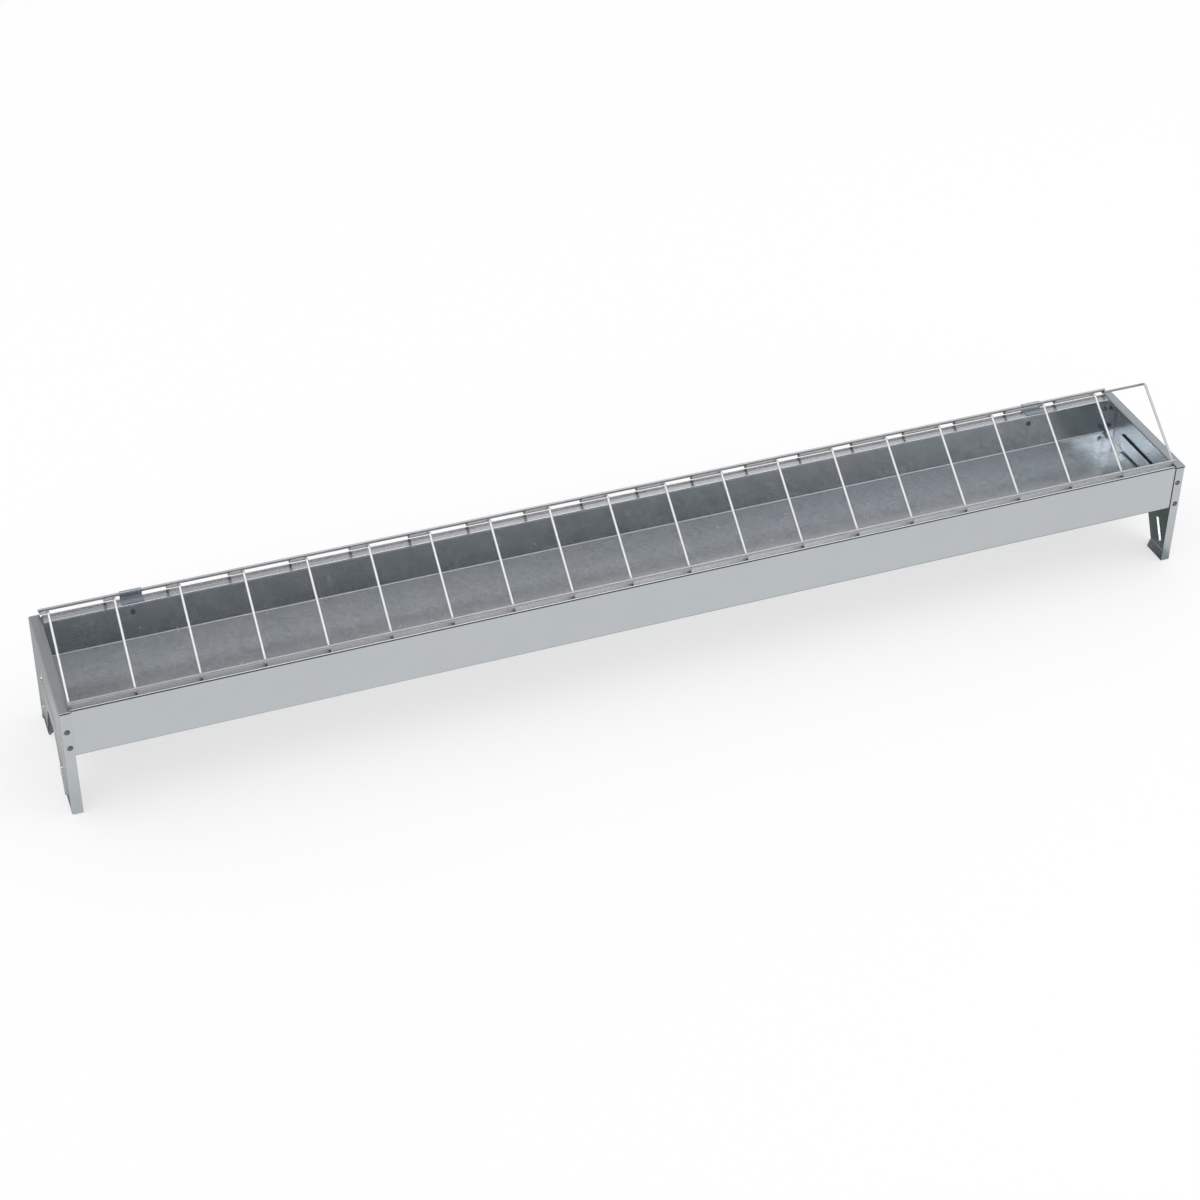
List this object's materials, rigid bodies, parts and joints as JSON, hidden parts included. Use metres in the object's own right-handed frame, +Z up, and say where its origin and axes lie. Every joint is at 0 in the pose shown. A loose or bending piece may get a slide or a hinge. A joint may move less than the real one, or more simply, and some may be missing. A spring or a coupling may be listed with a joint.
{
  "type": "trough feeder",
  "caption": "Low linear galvanised trough feeder for young poultry, on four sheet legs, with a roof-shaped wire grille hinged along its back.",
  "frame": {"origin": "on the floor, half way along the trough and half way across the feet", "axes": "+X along the trough towards its right end, seen from the feeding front; +Y to the hinged back; +Z up"},
  "size_m": [1.0032, 0.1316, 0.15],
  "materials": {
    "galvanised_sheet": "hot-dip galvanised, faint spangle, semi-matt",
    "galvanised_pressing": "hot-dip galvanised, faint spangle, semi-matt",
    "galvanised_strap": "galvanised strip, satin",
    "rivet_steel": "dull plated steel",
    "galvanised_rod": "zinc-plated drawn wire, satin",
    "bright_wire": "bright zinc-plated drawn wire"
  },
  "bodies": {
    "trough": {"trough_body": "galvanised_sheet", "left_end_plate": "galvanised_pressing", "right_end_plate": "galvanised_pressing", "left_hinge_clip": "galvanised_strap", "right_hinge_clip": "galvanised_strap", "clip_rivets": "rivet_steel", "end_plate_rivets": "rivet_steel"},
    "grille": {"front_rod": "galvanised_rod", "rear_rod": "galvanised_rod", "cross_wire_01": "bright_wire", "cross_wire_02": "bright_wire", "cross_wire_03": "bright_wire", "cross_wire_04": "bright_wire", "cross_wire_05": "bright_wire", "cross_wire_06": "bright_wire", "cross_wire_07": "bright_wire", "cross_wire_08": "bright_wire", "cross_wire_09": "bright_wire", "cross_wire_10": "bright_wire", "cross_wire_11": "bright_wire", "cross_wire_12": "bright_wire", "cross_wire_13": "bright_wire", "cross_wire_14": "bright_wire", "cross_wire_15": "bright_wire", "cross_wire_16": "bright_wire", "cross_wire_17": "bright_wire", "cross_wire_18": "bright_wire", "cross_wire_19": "bright_wire", "cross_wire_20": "bright_wire"}
  },
  "joints": [
    {"name": "grille_hinge", "type": "hinge", "parent": "trough", "child": "grille", "pos_m": [0, 0.0634, 0.1056], "axis": [-1, 0, 0], "range_deg": [0, 225]}
  ]
}
